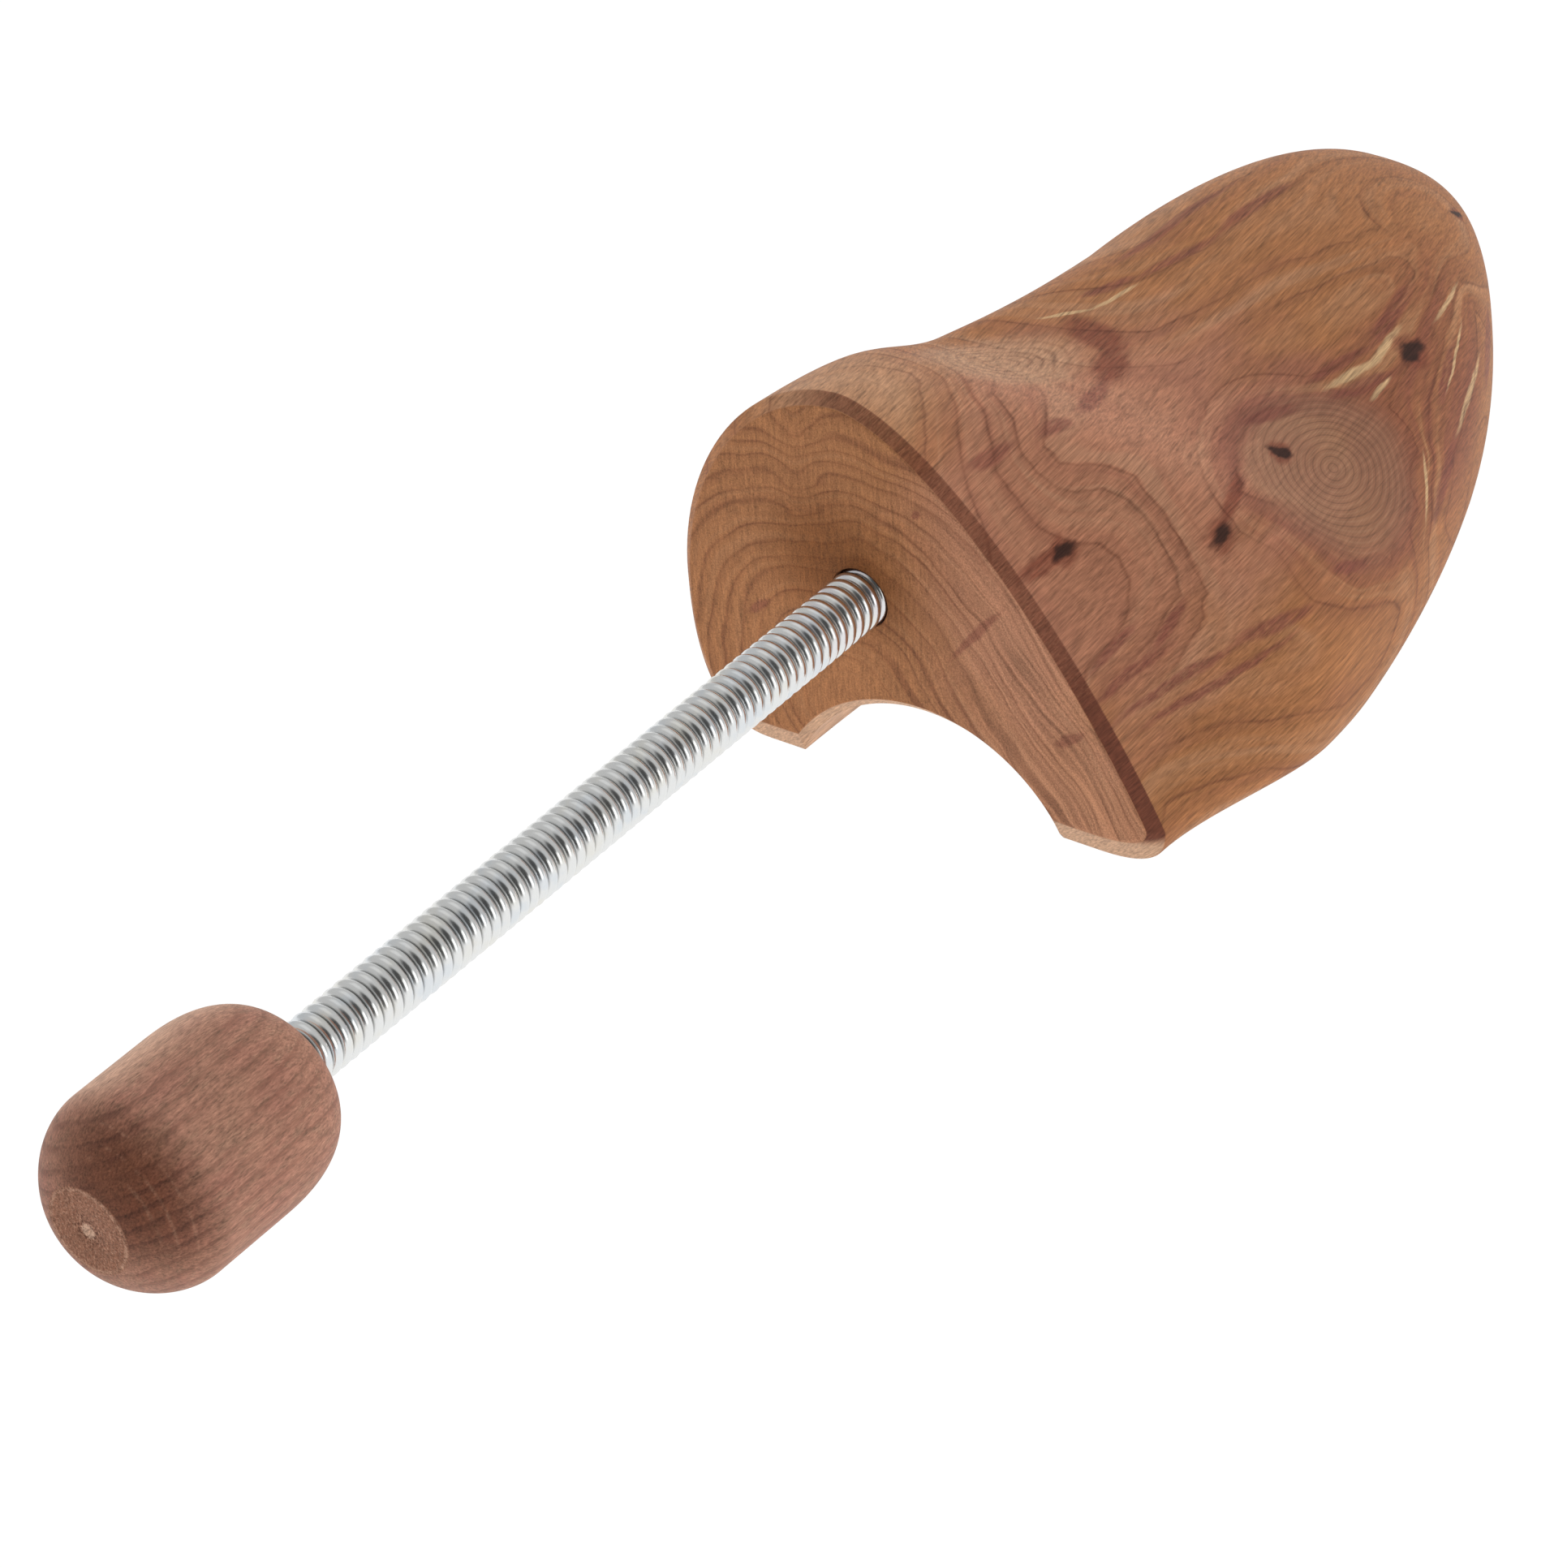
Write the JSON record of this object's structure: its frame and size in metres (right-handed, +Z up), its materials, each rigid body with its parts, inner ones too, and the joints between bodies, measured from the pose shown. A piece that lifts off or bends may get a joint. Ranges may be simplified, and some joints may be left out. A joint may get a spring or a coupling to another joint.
{
  "type": "spiral spring shoe tree",
  "caption": "Shoe tree for a right shoe: a carved wooden toe block joined by a close-wound, bendable steel spring to a turned wooden heel knob.",
  "frame": {"origin": "point on the flat sole of the toe block, under the middle of the block, in the plane of the spring", "axes": "+X to the toe, +Y to the inner (medial) side of the foot, +Z up from the sole"},
  "size_m": [0.3073, 0.0904, 0.0637],
  "materials": {
    "block_wood": "satin",
    "knob_wood": "satin",
    "spring_steel": "bright zinc",
    "dowel_wood": "plain"
  },
  "bodies": {
    "toe": {"toe_block": "block_wood", "toe_dowel": "dowel_wood"},
    "spring": {"coil_spring": "spring_steel"},
    "heel": {"heel_knob": "knob_wood", "heel_dowel": "dowel_wood"}
  },
  "joints": [
    {"name": "spring_bend_sideways", "type": "hinge", "parent": "toe", "child": "spring", "pos_m": [-0.10126, 0, 0.03514], "axis": [0.1219, 0, 0.9925], "range_deg": [-60, 60], "stiffness_Nm_per_rad": 0.16, "deforming": ["coil_spring"]},
    {"name": "spring_bend_up_down", "type": "hinge", "parent": "spring", "child": "heel", "pos_m": [-0.1638, 0, 0.04282], "axis": [0, 1, 0], "range_deg": [-35, 60], "stiffness_Nm_per_rad": 0.16, "springref_deg": 1.95, "deforming": ["coil_spring"]}
  ]
}
